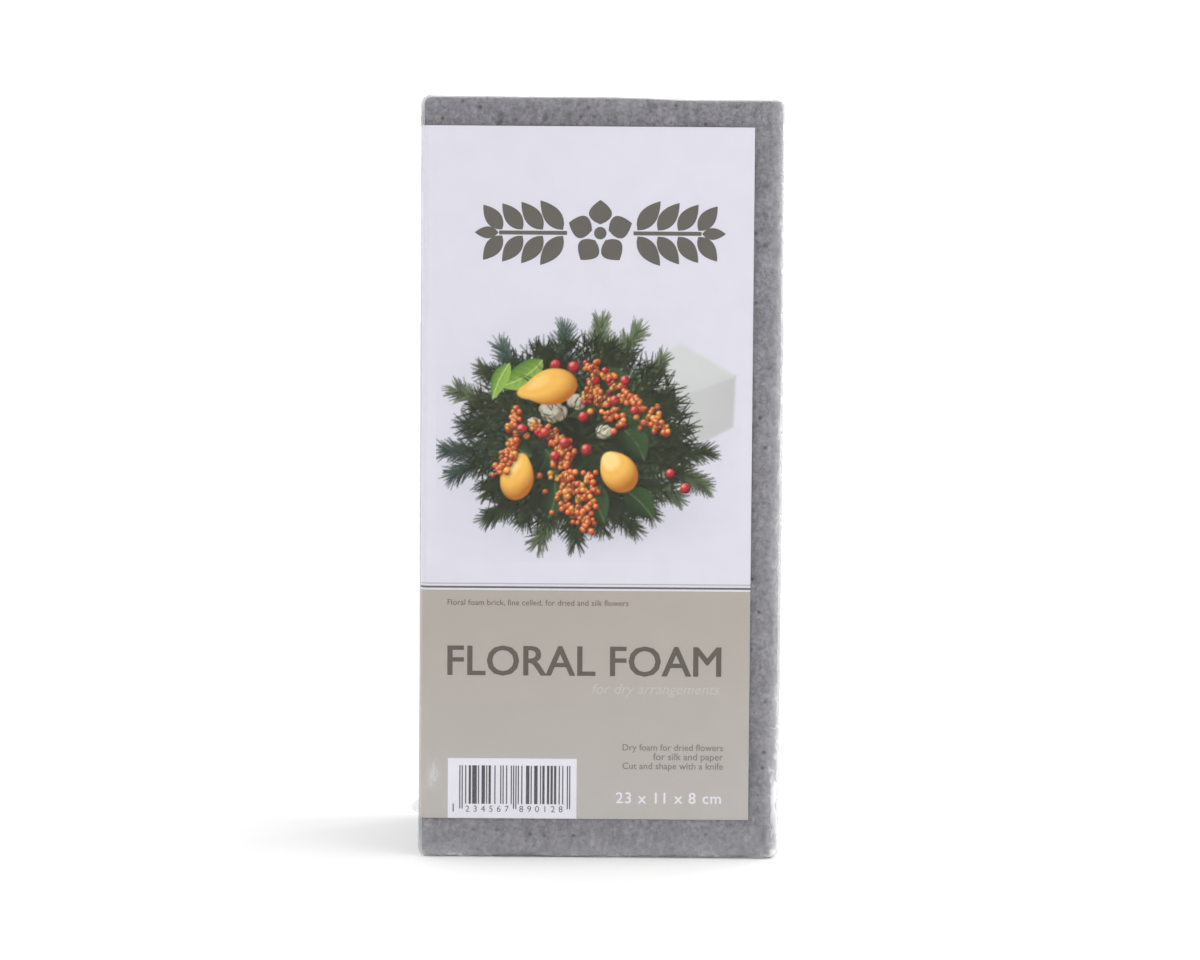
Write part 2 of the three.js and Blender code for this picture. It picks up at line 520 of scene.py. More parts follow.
def srgb(*levels):
    """Linear colour from 8-bit levels."""
    return np.array([((v / 255 + 0.055) / 1.055) ** 2.4 if v > 10 else v / 255 / 12.92 for v in levels])


def toward(turn, far):
    """A step of that length in the direction of an angle in radians."""
    return far * np.array((math.cos(turn), math.sin(turn)))


class Painting:
    """A small picture in linear colour, painted back to front, with places in millimetres."""

    def __init__(self, width, height, pitch, ground):
        self.pitch = pitch
        self.across = np.linspace(0, width, int(round(width / pitch)) + 1)
        self.up = np.linspace(0, height, int(round(height / pitch)) + 1)
        self.colour = np.empty((len(self.up), len(self.across), 3))
        self.colour[:] = ground

    def patch(self, ends, reach):
        """The rows and columns within reach of a shape's ends, and the places of their points."""
        low = np.min(ends, axis=0) - reach - self.pitch
        high = np.max(ends, axis=0) + reach + self.pitch
        columns = slice(*np.searchsorted(self.across, (low[0], high[0])))
        rows = slice(*np.searchsorted(self.up, (low[1], high[1])))
        return (rows, columns), np.meshgrid(self.across[columns], self.up[rows])

    def lay(self, part, cover, colour):
        """Paints over a patch, as far as cover, from 0 to 1, hides what is there."""
        self.colour[part] += np.clip(cover, 0, 1)[..., None] * (colour - self.colour[part])

    def edge(self, inside):
        """How far a point is covered, from its depth inside a shape's edge."""
        return np.clip(inside / self.pitch + 0.5, 0, 1)

    def stroke(self, start, end, wide, thin, dark, light):
        """A tapered stroke, such as a needle, lighter along its upper side."""
        part, (x, y) = self.patch((start, end), max(wide, thin))
        run = end - start
        along = np.clip(((x - start[0]) * run[0] + (y - start[1]) * run[1]) / math.hypot(*run) ** 2, 0, 1)
        off_x, off_y = x - start[0] - along * run[0], y - start[1] - along * run[1]
        width = wide + (thin - wide) * along
        side = (off_y * 0.8 - off_x * 0.6) / width
        shade = np.clip(0.5 + 0.5 * side, 0, 1) * (0.45 + 0.55 * along)
        self.lay(part, self.edge(width - np.hypot(off_x, off_y)), dark + shade[..., None] * (light - dark))

    def ball(self, centre, radius, inks, squash=1.0, turn=0.0, point=0.0, grain=0.0, rng=None):
        """A shaded round thing lit from the upper left, longer across than high, pointed at one end."""
        deep, mid, bright = inks
        part, (x, y) = self.patch((centre, centre), radius * (1.15 + point))
        right, up = (x - centre[0]) / radius, (y - centre[1]) / radius
        c, s = math.cos(turn), math.sin(turn)
        along = right * c + up * s
        over = (up * c - right * s) / squash
        stretched = np.where(along > 0, along / (1 + point), along)
        over_width = np.where(along > 0, 1 - 0.9 * point * np.clip(along, 0, 1) ** 2, 1)
        distance = np.hypot(stretched, over / over_width)
        depth = np.sqrt(np.clip(1 - distance**2, 0, 1))
        light = np.clip(-0.42 * right + 0.55 * up + 0.72 * depth, 0, 1)
        if grain:
            light = light + grain * rng.standard_normal(light.shape) * depth
        shade = np.clip(light, 0, 1)[..., None]
        colour = deep + (mid - deep) * np.clip(shade * 1.5, 0, 1)
        colour = colour + (bright - colour) * np.clip((shade - 0.82) * 4.5, 0, 1)
        self.lay(part, self.edge((1 - distance) * radius * min(squash, 1)), colour)

    def leaf(self, base, tip, width, inks, bend=0.0):
        """A pointed leaf from base to tip with a paler midrib."""
        dark, light, vein = inks
        part, (x, y) = self.patch((base, tip), width + abs(bend))
        length = math.dist(base, tip)
        ux, uy = (tip[0] - base[0]) / length, (tip[1] - base[1]) / length
        along = ((x - base[0]) * ux + (y - base[1]) * uy) / length
        over = -(x - base[0]) * uy + (y - base[1]) * ux - bend * 4 * along * (1 - along)
        half = width / 2 * np.sin(math.pi * np.clip(along, 0, 1) ** 0.8) ** 0.85
        side = over / np.maximum(half, 1e-3)
        ribs = 0.5 + 0.5 * np.cos(2 * math.pi * (along * 7 - np.abs(side) * 1.2))
        shade = np.clip(0.45 + 0.4 * side + 0.25 * ribs * (1 - np.abs(side)), 0, 1)[..., None]
        colour = dark + shade * (light - dark)
        colour = colour + self.edge(0.16 - np.abs(over))[..., None] * 0.7 * (vein - colour)
        self.lay(part, self.edge(half - np.abs(over)) * (along > -0.01) * (along < 1.01), colour)

    def polygon(self, corners, inks, soft, strength=1.0):
        """A convex face with soft edges, its colour changing from the first ink to the second."""
        corners = np.array(corners, float)
        part, (x, y) = self.patch(corners, soft)
        inside = np.full(x.shape, np.inf)
        for a, b in zip(corners, np.roll(corners, -1, axis=0)):
            normal = np.array((b[1] - a[1], a[0] - b[0])) / math.dist(a, b)
            if (corners.mean(0) - a) @ normal > 0:
                normal = -normal
            inside = np.minimum(inside, -((x - a[0]) * normal[0] + (y - a[1]) * normal[1]))
        share = np.clip((x - corners[:, 0].min()) / np.ptp(corners[:, 0]), 0, 1)[..., None]
        cover = np.clip(inside / soft + 0.5, 0, 1)
        self.lay(part, cover * strength, inks[0] + share * (inks[1] - inks[0]))

    def cloud(self, centre, size, darkness, tint=(1.0, 1.0, 1.0)):
        """A soft shadow that darkens what is there."""
        part, (x, y) = self.patch((centre, centre), 3 * np.array(size))
        fall = np.exp(-(((x - centre[0]) / size[0]) ** 2 + ((y - centre[1]) / size[1]) ** 2))
        self.colour[part] *= 1 - darkness * fall[..., None] * np.array(tint)


PINE_DARK = srgb(32, 30, 20)
PINE_GREEN = (srgb(34, 38, 23), srgb(82, 102, 60))
PINE_BLUE = (srgb(34, 47, 42), srgb(106, 128, 116))
PINE_OLIVE = (srgb(44, 54, 34), srgb(138, 154, 114))
STEM = (srgb(58, 46, 34), srgb(104, 88, 64))
LEAF_GREEN = (srgb(30, 42, 24), srgb(62, 88, 50), srgb(104, 126, 84))
LEAF_LIGHT = (srgb(74, 116, 40), srgb(156, 190, 86), srgb(198, 214, 140))
CREAM = (srgb(150, 138, 108), srgb(226, 220, 200), srgb(248, 245, 236))
ORANGE_BERRY = (srgb(128, 36, 20), srgb(222, 104, 56), srgb(255, 206, 140))
YELLOW_BERRY = (srgb(168, 82, 24), srgb(240, 160, 74), srgb(255, 226, 160))
RED_BERRY = (srgb(92, 16, 20), srgb(196, 44, 48), srgb(250, 160, 150))
FRUIT = (srgb(176, 108, 34), srgb(238, 186, 88), srgb(253, 224, 150))
BLOCK_TOP = (srgb(212, 213, 212), srgb(200, 202, 200))
BLOCK_SIDE = (srgb(206, 207, 206), srgb(188, 189, 188))


def bowed(start, end, bow, t):
    """A place on a bowed line from start to end."""
    run = np.subtract(end, start)
    return start + run * t + np.array((-run[1], run[0])) * bow * 4 * t * (1 - t)


def needle(p, start, turn, length, thickness, tip_thickness, inks, tint):
    p.stroke(start, start + toward(turn, length), thickness, tip_thickness, inks[0] * tint, inks[1] * tint)


def sprig(p, rng, start, end, bow, length, inks, lightness):
    """A bushy twig with needles down both sides and a tuft at its tip."""
    count = int(math.dist(start, end) / 0.42)
    points = [bowed(start, end, bow, i / count) for i in range(count + 1)]
    for a, b in zip(points, points[1:]):
        p.stroke(a, b, 0.42, 0.38, *STEM)
    for shade in (0.5, 1.0):
        for i in rng.permutation(count):
            t = i / count
            here, ahead = points[i], points[i + 1]
            heading = math.atan2(ahead[1] - here[1], ahead[0] - here[0])
            size = length * (0.8 + 0.3 * math.sin(math.pi * (0.25 + 0.7 * t)))
            for side in (-1, 1):
                turn = heading + side * math.radians(rng.uniform(22, 70) * (1.15 - 0.5 * t))
                far = size * rng.uniform(0.6, 1.2)
                needle(p, here, turn, far, 0.27, 0.12, inks, lightness * shade * rng.uniform(0.5, 1.3))
    for _ in range(16):
        turn = heading + math.radians(rng.uniform(-38, 38))
        far = length * rng.uniform(0.5, 1.0)
        needle(p, points[-1], turn, far, 0.26, 0.1, inks, lightness * rng.uniform(0.7, 1.3))


def berries(p, rng, start, end, bow, count, spread, kinds):
    """A bunch of small berries strung along a bowed line."""
    for i in range(count):
        t = (i + rng.uniform(0, 0.9)) / count
        place = bowed(start, end, bow, t)
        place = place + rng.normal(0, 0.5, 2) * spread * (0.4 + math.sin(math.pi * t))
        size = rng.uniform(0.66, 1.02)
        tone = rng.uniform(0.7, 1.08)
        deep, mid, bright = kinds[rng.integers(len(kinds))]
        p.cloud(place + (0.35 * size, -0.5 * size), (size, size), 0.55)
        p.ball(place, size, (deep * tone, mid * tone, bright))


def flower(p, rng, centre, size):
    """A loose cream flower with a few broad uneven petals."""
    p.cloud(centre + np.array((0.8, -1.4)), (size, size), 0.5)
    for i in range(11):
        turn = i * 2.4 + rng.uniform(-0.3, 0.3)
        place = centre + toward(turn, size * (0.62 - 0.045 * i)) * (1.0, 0.8)
        tone = rng.uniform(0.86, 1.08)
        inks = [ink * tone for ink in CREAM]
        p.ball(place, size * rng.uniform(0.36, 0.5), inks, rng.uniform(0.5, 0.85), turn + 1.4)


def fruit(p, rng, centre, radius, squash, turn, point):
    """A yellow fruit with a soft shadow, faint ribs and a warmer underside."""
    centre = np.array(centre)
    p.cloud(centre + (1.0, -1.9), (radius, radius * 0.9), 0.6)
    p.ball(centre, radius, FRUIT, squash, turn, point, 0.02, rng)
    c, s = math.cos(turn), math.sin(turn)
    for side in (-0.45, 0.05, 0.5):
        for along in np.linspace(-0.72, 0.72, 9):
            rib = (along * c - side * squash * s, along * s + side * squash * c)
            p.cloud(centre + radius * np.array(rib), (0.5, 0.5), 0.045, (0.6, 1.0, 1.4))
    under = centre + radius * np.array((0.35, -0.5 * squash))
    p.cloud(under, (radius * 0.5, radius * 0.4), 0.14, (0.3, 1, 1.5))


def paint_arrangement(width, height):
    """A winter arrangement of pine, berries and yellow fruit, with a pale foam block behind it."""
    rng = np.random.default_rng(23)
    p = Painting(width, height, PICTURE_PITCH, PAPER_WHITE)
    p.polygon([(58, 55), (73.5, 66.5), (90.4, 56.6), (73, 49)], BLOCK_TOP, 1.2, 0.95)
    p.polygon([(66, 42), (73, 50), (90.4, 56.6), (89.8, 41.2), (80.6, 36.4)], BLOCK_SIDE, 1.0)
    shadows = [((36, 9), (24, 6), 0.07), ((62, 14), (17, 7), 0.10), ((16, 22), (12, 7), 0.05)]
    for centre, size, darkness in shadows:
        p.cloud(centre, size, darkness, (1.0, 0.97, 0.9))

    # pine sprigs, the far ones first
    middle = np.array((43.0, 38.0))
    reaches = np.array((43.0, 36.0))
    green, blue, olive = PINE_GREEN, PINE_BLUE, PINE_OLIVE
    sprigs = [
        (64, 1.02, 0.05, olive), (82, 1.0, -0.04, olive), (97, 0.93, 0.05, blue), (48, 0.9, -0.05, olive),
        (126, 0.96, 0.05, blue), (143, 0.9, -0.06, green), (158, 0.98, 0.05, olive), (30, 0.74, 0.05, green),
        (171, 0.84, -0.05, blue), (186, 0.98, 0.05, blue), (199, 0.98, -0.06, blue), (214, 0.82, 0.05, green),
        (226, 0.98, 0.06, green), (240, 0.84, -0.05, green), (253, 0.98, 0.05, olive),
        (268, 0.93, -0.05, green), (281, 0.82, 0.05, green), (296, 0.9, -0.06, green),
        (311, 0.86, 0.05, green), (325, 0.9, -0.05, olive), (338, 1.02, 0.05, olive),
        (350, 0.96, -0.05, green), (4, 0.74, 0.05, green), (16, 0.68, -0.05, green),
        (111, 0.8, 0.04, green), (73, 0.8, -0.05, green),
    ]
    p.cloud(middle, (29, 23), 0.3)
    p.stroke(middle - (9, 0), middle + (9, 0), 19, 19, PINE_DARK, PINE_DARK)
    for angle, reach, bow, kind in sprigs:
        turn = math.radians(angle + rng.uniform(-3, 3))
        way = toward(turn, 1.0) * reaches
        light = 0.75 + 0.35 * max(0.0, math.sin(turn))
        sprig(p, rng, middle + way * 0.2, middle + way * reach * 0.94, bow, 5.4, kind, light)

    def scattered(spread, wobble):
        """A random place near the middle, and a direction roughly away from it."""
        turn, far = rng.uniform(0, 2 * math.pi), spread * math.sqrt(rng.random())
        return middle + toward(turn, far) * reaches, turn + rng.uniform(-wobble, wobble)

    # the dark heart that the rest sits in
    for _ in range(2600):
        here, turn = scattered(0.78, 1.3)
        needle(p, here, turn, 4.6, 0.3, 0.12, (PINE_DARK, PINE_GREEN[1] * 0.8), rng.uniform(0.3, 0.9))
    for base, tip, wide in (((44, 24), (51, 12), 9), ((57, 22), (66, 13), 8), ((50, 58), (57, 51), 7),
                            ((55, 45), (66, 40), 11), ((57, 40), (63, 31), 8), ((36, 24), (34, 13), 7),
                            ((29, 32), (21, 38), 6), ((47, 51), (40, 44), 7), ((33, 34), (36, 25), 6)):
        p.cloud(np.add(base, tip) / 2 + (0.6, -1.0), (4, 3), 0.4)
        p.leaf(base, tip, wide, LEAF_GREEN, 0.8)
    p.leaf((32, 61), (19, 53), 8.0, LEAF_LIGHT, 1.4)
    p.leaf((22, 60), (17, 49), 5.0, LEAF_LIGHT, -0.6)

    for centre, size in (((35, 45.5), 4.8), ((42.5, 48.5), 3.6), ((50.5, 39.5), 3.2), ((29.5, 42), 2.6)):
        flower(p, rng, centre, size)
    warm = (ORANGE_BERRY, ORANGE_BERRY, ORANGE_BERRY, YELLOW_BERRY)
    mixed = (ORANGE_BERRY, ORANGE_BERRY, RED_BERRY, YELLOW_BERRY)
    berries(p, rng, (46, 60), (60, 50), -0.1, 70, 3.2, mixed)
    berries(p, rng, (44, 51), (56, 42), 0.12, 70, 3.4, mixed)
    berries(p, rng, (60, 50), (70, 40), -0.1, 55, 2.6, warm)
    berries(p, rng, (24, 46), (18, 27), 0.12, 80, 2.4, warm)
    berries(p, rng, (29, 41), (37, 35), 0.1, 45, 2.8, mixed)
    berries(p, rng, (38, 36), (46, 10), -0.08, 170, 4.0, warm)
    for place in ((36, 59.5), (41.5, 59), (33, 39), (39, 36), (44.5, 44), (26, 40), (71, 27),
                  (75.5, 22.5), (54, 49), (60, 46), (45.5, 34), (36, 32), (57, 55), (48, 55)):
        size = rng.uniform(1.3, 1.8)
        p.cloud(place + np.array((0.6, -0.9)), (size, size), 0.5)
        p.ball(place, size, RED_BERRY)

    for _ in range(260):
        here, turn = scattered(0.6, 0.8)
        tip_ink = PINE_GREEN[1] * rng.uniform(0.6, 1.2)
        p.stroke(here, here + toward(turn, 3.4), 0.2, 0.08, PINE_GREEN[0], tip_ink)

    fruit(p, rng, (35, 53), 7.6, 0.72, math.pi + 0.2, 0.42)
    fruit(p, rng, (24.5, 25), 6.4, 0.78, 1.35, 0.25)
    fruit(p, rng, (55.5, 27), 6.2, 0.86, 2.2, 0.2)
    berries(p, rng, (24, 33), (19, 27), 0.1, 14, 1.6, warm)
    berries(p, rng, (45, 27), (46, 16), 0.1, 40, 3.0, warm)
    return p


# ---------------------------------------------------------------- the leaflet

BEND_RADIUS = FOAM_RADIUS + FOAM_GAP + LEAFLET_THICKNESS  # of the leaflet's printed face
BEND_X = LEAFLET_LOW[0] + BEND_RADIUS
BEND_Y = LEAFLET_LOW[1] + BEND_RADIUS
FLAT_LENGTH = LEAFLET_HIGH[0] - BEND_X
ARC_LENGTH = (BEND_RADIUS - LEAFLET_THICKNESS / 2) * math.pi / 2
FOLD_SIDE = LEAFLET_WIDTH - FLAT_LENGTH - ARC_LENGTH  # what lies along the brick's left side
SEEN_LEFT = LEAFLET_WIDTH - (LEAFLET_HIGH[0] - LEAFLET_LOW[0])  # across it, below its left silhouette
PANEL_TOP = 69.8
RULE_UP = 70.7
HAIRLINE_UP = 71.8
PICTURE_LEFT, PICTURE_RIGHT, PICTURE_BOTTOM, PICTURE_TOP = 4.6, 96.6, 78.6, 155.8
PICTURE_PITCH = 0.29


def on_leaflet(across, up, lift=0.0):
    """A place on the leaflet's printed face: across from its left edge, up from its bottom edge."""
    radius = BEND_RADIUS + lift
    z = LEAFLET_LOW[2] + up
    if across >= FOLD_SIDE + ARC_LENGTH:
        return (LEAFLET_HIGH[0] - (LEAFLET_WIDTH - across), LEAFLET_LOW[1] - lift, z)
    if across <= FOLD_SIDE:
        return (LEAFLET_LOW[0] - lift, BEND_Y + FOLD_SIDE - across, z)
    turn = (across - FOLD_SIDE) / ARC_LENGTH * math.pi / 2
    return (BEND_X - radius * math.cos(turn), BEND_Y - radius * math.sin(turn), z)


def leaflet_strip(name, bottom, top, thickness, lift, look):
    """A thin closed strip right across the leaflet, or of ink on it, between those heights."""
    bend = [FOLD_SIDE + ARC_LENGTH * i / 10 for i in range(11)]
    corners = ((bottom, lift), (top, lift), (top, lift - thickness), (bottom, lift - thickness))
    stops = [0, *bend, LEAFLET_WIDTH]
    vertices = [on_leaflet(across, up, depth) for across in stops for up, depth in corners]
    index = np.arange(len(vertices)).reshape(-1, 4)
    faces = quads(np.pad(index, ((0, 0), (0, 1)), mode="wrap").T)
    faces += [index[0].tolist(), index[-1, ::-1].tolist()]
    return mesh_piece(name, vertices, faces, look, smooth=False)


def printed(piece):
    """Rides a piece of print on the brick, as part of the leaflet."""
    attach(piece, "root")
    return piece


def band(name, bottom, top, ink):
    """A band of print right across the leaflet."""
    printed(leaflet_strip(name, bottom, top, INK, INK, inks[ink]))


def ink_shapes(name, outlines, ink, layer=1, raised=()):
    """Flat shapes of print in one ink, each a closed outline; those in raised may lie over the others."""
    vertices = []
    faces = []
    for i, outline in enumerate([*outlines, *raised]):
        n = len(outline)
        start = len(vertices)
        over = 0.3 * INK if i >= len(outlines) else 0.0
        for lift in (layer * INK + over, (layer - 1) * INK + over):
            vertices += [on_leaflet(SEEN_LEFT + u, v, lift) for u, v in outline]
        faces.append([start + j for j in range(n)])
        faces.append([start + n + j for j in reversed(range(n))])
        for j in range(n):
            k = (j + 1) % n
            faces.append([start + k, start + j, start + n + j, start + n + k])
    printed(mesh_piece(name, vertices, faces, inks[ink], smooth=False))


def words(name, text, left, right, base, ink, layer=2, heavy=0.0, slant=0.0, spacing=1.0):
    """A line of print on the leaflet, scaled to fit from left to right and thickened by heavy."""
    curve = bpy.data.curves.new(name, "FONT")
    curve.body = text
    curve.size = 1.0
    curve.shear = slant
    curve.space_character = spacing
    curve.resolution_u = 3
    curve.extrude = 0.5
    source = link(bpy.data.objects.new(name + "_source", curve))
    mesh = bpy.data.meshes.new_from_object(source)
    bpy.data.objects.remove(source)
    places = np.array([v.co[:] for v in mesh.vertices])
    outlines = [list(polygon.vertices) for polygon in mesh.polygons]
    bpy.data.meshes.remove(mesh)
    scale = (right - left - 2 * heavy) / np.ptp(places[:, 0])
    strikes = [(-1, -0.6), (-1, 0.6), (1, -0.6), (1, 0.6), (0, 0)] if heavy else [(0, 0)]
    vertices = []
    faces = []
    for strike, (shift_u, shift_v) in enumerate(strikes):
        across = SEEN_LEFT + left + heavy + (places[:, 0] - places[:, 0].min()) * scale + shift_u * heavy
        up = base + places[:, 1] * scale + shift_v * heavy
        lift = (layer - 0.5 + places[:, 2] + 0.15 * strike) * INK
        faces += [[len(vertices) + i for i in face] for face in outlines]
        vertices += [on_leaflet(*spot) for spot in zip(across, up, lift)]
    printed(mesh_piece(name, vertices, faces, inks[ink], smooth=False))


def rectangle(left, right, bottom, top):
    return [(left, bottom), (right, bottom), (right, top), (left, top)]


def leaf_outline(base, angle, length, width, count=9):
    """A pointed leaf growing from base in that direction."""
    ux, uy = math.cos(angle), math.sin(angle)
    sides = []
    for side, parts in ((-1, range(count)), (1, range(count, 0, -1))):
        for i in parts:
            t = i / count
            half = side * width / 2 * math.sin(math.pi * t**0.85) ** 0.9 if 0 < t < 1 else 0.0
            sides.append((base[0] + ux * t * length - uy * half, base[1] + uy * t * length + ux * half))
    return sides


def emblem():
    """A plain garland: a five-petalled flower between two leafy sprigs."""
    middle = np.array((53.8, 178.0))
    half_width = 37.9
    shapes = [[middle + toward(2 * math.pi * i / 20, 1.9) for i in range(20)]]
    stems = []
    for i in range(5):
        angle = math.radians(90 + 72 * i)
        shapes.append(leaf_outline(middle + toward(angle, 2.6), angle, 7.4, 7.0))
    for side in (-1, 1):
        lean = math.radians(90 - 38 * side)
        for i, up in itertools.product(range(4), (-1, 1)):
            base = middle + (side * (11.2 + 6.1 * i), up * 0.9)
            shapes.append(leaf_outline(base, up * lean, 11.2 - 0.6 * i, 5.3 - 0.15 * i))
        root, tip = middle[0] + side * 10.0, middle[0] + side * (half_width - 7.4)
        stems.append(rectangle(min(root, tip), max(root, tip), middle[1] - 0.6, middle[1] + 0.6))
        stems.append(leaf_outline((tip + side * 0.15, middle[1]), 0.0 if side > 0 else math.pi, 7.2, 3.6))
    ink_shapes("print_emblem", shapes, "olive", raised=stems)


BAR_DIGITS = "1234567890128"  # a dummy number
DIGIT_BARS = ("3211", "2221", "2122", "1411", "1132", "1231", "1114", "1312", "1213", "3112")
LEFT_SETS = "AABABB"  # for a first digit of 1; the patterns of set B are turned round


def bar_modules():
    """The bars of the dummy number, as (first module, number of modules, whether it is long)."""
    patterns = [DIGIT_BARS[int(digit)] for digit in BAR_DIGITS]
    left = [pattern if which == "A" else pattern[::-1] for pattern, which in zip(patterns[1:7], LEFT_SETS)]
    groups = [("111", True, True)] + [(pattern, False, False) for pattern in left] + [("11111", False, True)]
    groups += [(pattern, True, False) for pattern in patterns[7:]] + [("111", True, True)]
    bars = []
    place = 0
    for pattern, dark, is_long in groups:
        for width in pattern:
            if dark:
                bars.append((place, int(width), is_long))
            place += int(width)
            dark = not dark
    return bars, place


def bar_field():
    """The white field with bars and digits in the leaflet's lower left."""
    left, right, bottom, top = 12.1, 45.9, 4.4, 16.2
    ink_shapes("print_bar_field", [rectangle(8.6, 47.8, 0.02, 18.4)], "white", 2)
    bars, modules = bar_modules()
    size = (right - left) / modules
    shapes = []
    for place, width, is_long in bars:
        foot = bottom - 1.5 if is_long else bottom
        shapes.append(rectangle(left + place * size, left + (place + width) * size, foot, top))
    ink_shapes("print_bars", shapes, "dark", 3)
    words("print_digit", BAR_DIGITS[0], 10.1, 10.45, 1.95, "dark", 3)
    words("print_digits_left", BAR_DIGITS[1:7], 14.0, 27.2, 1.95, "dark", 3, spacing=1.75)
    words("print_digits_right", BAR_DIGITS[7:], 30.4, 43.6, 1.95, "dark", 3, spacing=1.75)


def printed_words():
    note = "Floral foam brick, fine celled, for dried and silk flowers"
    words("print_heading", "FLORAL FOAM", 8.3, 91.5, 43.9, "heading", heavy=0.17)
    words("print_note", note, 8.3, 63.2, 65.2, "heading")
    words("print_subtitle", "for dry arrangements", 52.3, 91.1, 38.4, "faint", slant=0.3)
    words("print_use_1", "Dry foam for dried flowers", 61.7, 92.3, 21.1, "grey", heavy=0.035)
    words("print_use_2", "for silk and paper", 71.0, 92.3, 18.2, "grey", heavy=0.035)
    words("print_use_3", "Cut and shape with a knife", 61.7, 92.3, 15.4, "grey", heavy=0.035)
    words("print_size", "23 x 11 x 8 cm", 59.8, 91.8, 4.9, "white", heavy=0.06, spacing=1.1)


def picture():
    """The painted picture, printed on the white panel as a fine grid of coloured points."""
    painting = paint_arrangement(PICTURE_RIGHT - PICTURE_LEFT, PICTURE_TOP - PICTURE_BOTTOM)
    rows, columns = painting.colour.shape[:2]
    index = np.arange(rows * columns).reshape(rows, columns)
    rim = [*index[0], *index[1:, -1], *index[-1, -2::-1], *index[-2:0:-1, 0]]
    left = SEEN_LEFT + PICTURE_LEFT
    spots = [(left + u, PICTURE_BOTTOM + v) for v in painting.up for u in painting.across]
    vertices = [on_leaflet(*spot, INK) for spot in spots] + [on_leaflet(*spots[i], 0.0) for i in rim]
    faces = quads(index)
    below = len(spots)
    for i, here in enumerate(rim):
        j = (i + 1) % len(rim)
        faces.append((rim[j], here, below + i, below + j))
    faces.append([below + i for i in reversed(range(len(rim)))])
    piece = printed(mesh_piece("print_picture", vertices, faces, inks["painted"], smooth=False))
    paint = np.ones((len(vertices), 4))
    paint[:, :3] = PAPER_WHITE
    paint[:below, :3] = painting.colour.reshape(-1, 3)
    layer = piece.data.attributes.new(PAINT, "FLOAT_COLOR", "POINT")
    layer.data.foreach_set("color", paint.ravel())


def make_leaflet():
    """The paper with all of its print."""
    paper = leaflet_strip("leaflet_paper", 0, LEAFLET_HEIGHT, LEAFLET_THICKNESS, 0, paper_look)
    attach(paper, "root")
    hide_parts("label_insert")
    band("print_lower_panel", 0, PANEL_TOP, "beige")
    band("print_rule", RULE_UP - 0.3, RULE_UP + 0.3, "olive")
    band("print_hairline", HAIRLINE_UP - 0.18, HAIRLINE_UP + 0.18, "hairline")
    emblem()
    printed_words()
    bar_field()
    picture()


make_leaflet()


# ---------------------------------------------------------------- the shrink film

FILM_WALL_LOW = np.array([LEAFLET_LOW[0] - 0.35, FILM_LOW[1] + 0.25, 0.25])
FILM_WALL_HIGH = FILM_HIGH - (0.03, 0.15, 0.1)
FILM_RADIUS = FOAM_RADIUS + 0.45
VENT_RADIUS = 1.5
MIDDLE_X = (FOAM_LOW[0] + FOAM_HIGH[0]) / 2
VENT_HEIGHTS = (FOAM_LOW[2] + 60, FOAM_LOW[2] + 170)
BACK_VENTS = (MIDDLE_X - 30, MIDDLE_X + 30)
EAR_HEIGHTS = (FOAM_LOW[2] + 8.5, FOAM_HIGH[2] - 6)
SEAM_ENDS = (FOAM_LOW[2] + 5, FOAM_HIGH[2] - 2.5)
SEAM_PROUD = 0.5
EAR_PROUD = 3.9  # limp film, so it stands out further than the frame's solid ear
END_FOLD_REACH = 38  # how far in from the sides the end folds run
LIP_SLACK = 0.95
FIN_SLACK = 0.35


def end_fold(y, from_side, width):
    """The slanting folds of the film on the brick's ends, near its left and right sides."""
    return bell(np.abs(y - SEAM_Y) - 0.95 * from_side, 0, width) * (from_side < END_FOLD_REACH)


def film_slack_and_painted_light(points):
    """How loose and crinkled the film is at each point, from 0 to 1, with painted light mixed in: brighter
    film along the front right edge, the bottom and the top, and painted glints at the lower right and over
    the leaflet's lower left.
    """
    x, y, z = points.T
    low, high = FILM_WALL_LOW, FILM_WALL_HIGH
    from_right, from_left = high[0] - x, x - low[0]
    from_front, from_back = y - low[1], high[1] - y
    above, below = z - low[2], high[2] - z
    front_right = np.hypot(from_right, from_front)
    lower = 1 / (1 + np.exp((z - 125) / 30))
    # painted glints at the lower right
    low_right_glints = bell(from_right, 0, 3.5) * bell(from_front, 0, 9) / (1 + np.exp((z - 34) / 2.5))
    # a painted glint over the leaflet's lower left, where the film swells a little
    bulge_glint = bell(x - 0.12 * (z - 25.5), low[0] + 4.7, 1.9) * bell(z, 25.5, 4.4) * bell(y, low[1], 1.5)
    on_end = np.minimum(above, below) < 0.6
    parts = [
        # painted brightening along the front right edge, standing for the film's reflection there
        (0.56 + 0.24 * lower) * fade(np.maximum(front_right, 0.4 * from_front), 2.3),
        0.3 * bell(from_right, 0, 3.4) * fade(from_front, 6),
        0.4 * fade(np.hypot(from_right, from_back), 2.5),
        0.4 * fade(np.hypot(from_left, from_back), 2.5),
        # painted brightening along the bottom, and on the next line a little along the top
        0.25 * fade(above, 13) + 0.4 * fade(above, 1.2),
        0.08 * fade(below, 3) + 0.15 * fade(below, 1.0),
        on_end * 0.55 * bell(y, SEAM_Y, 0.6),
        on_end * 0.3 * end_fold(y, np.minimum(from_left, from_right), 0.8),
        0.72 * low_right_glints,
        0.62 * bulge_glint,
    ]
    for from_side, from_end in itertools.product((from_left, from_right), (above, below)):
        gather = np.hypot(from_side, np.hypot(from_end, 0.6 * (y - SEAM_Y)))
        parts.append(0.45 * fade(gather, 9))
    ragged = 1 + 0.35 * blobs(points, 9, 21) + 0.25 * blobs(points, 3, 22)
    return np.clip(np.max(parts, axis=0) * ragged, 0, 1)


